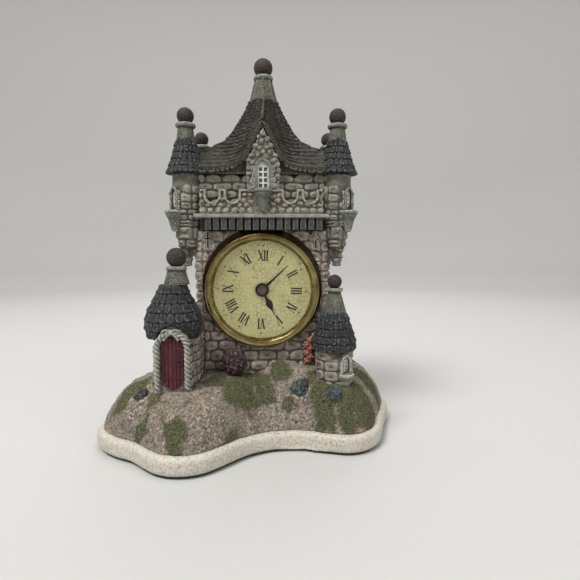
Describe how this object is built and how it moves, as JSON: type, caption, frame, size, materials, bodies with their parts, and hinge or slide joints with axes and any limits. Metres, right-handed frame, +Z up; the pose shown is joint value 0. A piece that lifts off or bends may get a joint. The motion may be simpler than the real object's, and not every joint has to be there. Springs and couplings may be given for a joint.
{
  "type": "castle mantel clock",
  "caption": "Painted cast resin castle on a grassy hill with turrets and a gabled roof; a round gold-rimmed quartz clock slides out of its front wall for setting and a new battery.",
  "frame": {"origin": "on the underside of the felt, straight below the clock's hand axis and the middle of the tower", "axes": "+Z up; the clock's face and the door look towards -Y; +X is to the right of someone who looks at the face"},
  "size_m": [0.1779, 0.1432, 0.2389],
  "materials": {
    "felt": "felt",
    "plinth": "painted cast resin, ivory, lightly speckled, satin",
    "hill": "cast resin with a grit texture and flocked moss patches, matt",
    "wall_stone": "painted cast resin, rubble stonework, matt",
    "slate": "painted cast resin, slates, matt",
    "turret_tiles": "painted cast resin, rough tiles with dry-brushed edges, matt",
    "lead": "painted cast resin, lead grey, satin",
    "ball_brown": "painted cast resin, dark brown, satin",
    "window_stone": "painted cast resin, grey, matt",
    "lattice_white": "painted cast resin, cream white, satin",
    "door_red": "painted cast resin, burgundy planks, satin",
    "iron": "painted cast resin, black, matt",
    "rope": "painted cast resin, grey-green, matt",
    "foliage": "painted cast resin, foliage, matt",
    "blossom": "painted cast resin, coral red, matt",
    "gold": "polished and lacquered",
    "lens": "clear",
    "dial_print": "printed, fine crackle, satin",
    "black_plastic": "matt",
    "band_rubber": "matt",
    "black_hands": "black lacquer",
    "cap_bronze": "bronze brown, satin",
    "movement_plastic": "moulded",
    "gear_plastic": "moulded",
    "arbor_metal": "turned",
    "iron_core": "stamped",
    "copper_wire": "enamelled wire",
    "board": "solder mask",
    "cell_steel": "plated",
    "contact_metal": "sprung strip"
  },
  "bodies": {
    "castle": {"felt_pad": "felt", "plinth": "plinth", "hill": "hill", "tower_shaft": "wall_stone", "string_course": "wall_stone", "upper_storey": "wall_stone", "battlement": "wall_stone", "gable_wall": "wall_stone", "gable_window_frame": "window_stone", "gable_lattice": "lattice_white", "main_roof": "slate", "spire_cap": "lead", "spire_ball": "ball_brown", "corner_turrets": "wall_stone", "corner_turret_roofs": "turret_tiles", "corner_turret_caps": "lead", "corner_turret_balls": "ball_brown", "corner_window_frames": "window_stone", "corner_lattices": "lattice_white", "arrow_loops": "window_stone", "porch_turret": "wall_stone", "porch_roof": "turret_tiles", "porch_cap": "lead", "porch_ball": "ball_brown", "porch_door": "door_red", "door_furniture": "iron", "rope_arch": "rope", "garden_turret": "wall_stone", "garden_roof": "turret_tiles", "garden_cap": "lead", "garden_ball": "ball_brown", "garden_window_frame": "window_stone", "garden_lattice": "lattice_white", "shrubs": "foliage", "climbing_roses": "blossom"},
    "clock_insert": {"bezel": "gold", "lens": "lens", "dial": "dial_print", "insert_case": "black_plastic", "grip_band": "band_rubber", "battery": "cell_steel", "battery_contacts": "contact_metal", "movement_plate": "movement_plastic", "movement_back_plate": "movement_plastic", "stator": "iron_core", "coil": "copper_wire", "circuit_board": "board"},
    "battery_cover": {"battery_door": "black_plastic"},
    "minute_arbor": {"cannon_pinion": "arbor_metal", "minute_hand": "black_hands", "hand_cap": "cap_bronze"},
    "minute_wheel": {"minute_wheel": "gear_plastic"},
    "hour_arbor": {"hour_wheel": "gear_plastic", "hour_hand": "black_hands"},
    "setting_knob": {"set_knob": "black_plastic"},
    "seconds_arbor": {"seconds_wheel": "gear_plastic"},
    "rotor": {"rotor": "gear_plastic"},
    "intermediate_arbor": {"intermediate_wheel": "gear_plastic"},
    "third_arbor": {"third_wheel": "gear_plastic"},
    "centre_arbor": {"centre_wheel": "gear_plastic"}
  },
  "joints": [
    {"name": "insert_slide", "type": "slide", "parent": "castle", "child": "clock_insert", "axis": [0, -1, 0], "range_m": [0, 0.06]},
    {"name": "battery_cover_slide", "type": "slide", "parent": "clock_insert", "child": "battery_cover", "axis": [0, 1, 0], "range_m": [0, 0.012]},
    {"name": "minute_hand_turn", "type": "hinge", "parent": "clock_insert", "child": "minute_arbor", "pos_m": [0, -0.025, 0.088], "axis": [0, 1, 0], "continuous": true},
    {"name": "minute_wheel_turn", "type": "hinge", "parent": "clock_insert", "child": "minute_wheel", "pos_m": [0.00424, -0.025, 0.08376], "axis": [0, 1, 0], "continuous": true},
    {"name": "hour_hand_turn", "type": "hinge", "parent": "clock_insert", "child": "hour_arbor", "pos_m": [0, -0.025, 0.088], "axis": [0, 1, 0], "continuous": true},
    {"name": "setting_knob_turn", "type": "hinge", "parent": "clock_insert", "child": "setting_knob", "pos_m": [0.00849, -0.025, 0.07951], "axis": [0, 1, 0], "continuous": true},
    {"name": "seconds_wheel_turn", "type": "hinge", "parent": "clock_insert", "child": "seconds_arbor", "pos_m": [0, -0.025, 0.088], "axis": [0, 1, 0], "continuous": true},
    {"name": "rotor_turn", "type": "hinge", "parent": "clock_insert", "child": "rotor", "pos_m": [0.00756, -0.025, 0.09958], "axis": [0, 1, 0], "continuous": true},
    {"name": "intermediate_turn", "type": "hinge", "parent": "clock_insert", "child": "intermediate_arbor", "pos_m": [0.00575, -0.025, 0.09282], "axis": [0, 1, 0], "continuous": true},
    {"name": "third_turn", "type": "hinge", "parent": "clock_insert", "child": "third_arbor", "pos_m": [-0.00648, -0.025, 0.09174], "axis": [0, 1, 0], "continuous": true},
    {"name": "centre_turn", "type": "hinge", "parent": "clock_insert", "child": "centre_arbor", "pos_m": [0, -0.025, 0.088], "axis": [0, 1, 0], "continuous": true}
  ],
  "couplings": [
    {"joint": "minute_wheel_turn", "follows": "minute_hand_turn", "ratio": -0.33333},
    {"joint": "hour_hand_turn", "follows": "minute_hand_turn", "ratio": 0.083333},
    {"joint": "setting_knob_turn", "follows": "minute_hand_turn", "ratio": 1},
    {"joint": "rotor_turn", "follows": "seconds_wheel_turn", "ratio": 30},
    {"joint": "intermediate_turn", "follows": "seconds_wheel_turn", "ratio": -5},
    {"joint": "third_turn", "follows": "seconds_wheel_turn", "ratio": -0.13333},
    {"joint": "centre_turn", "follows": "seconds_wheel_turn", "ratio": 0.016667}
  ]
}
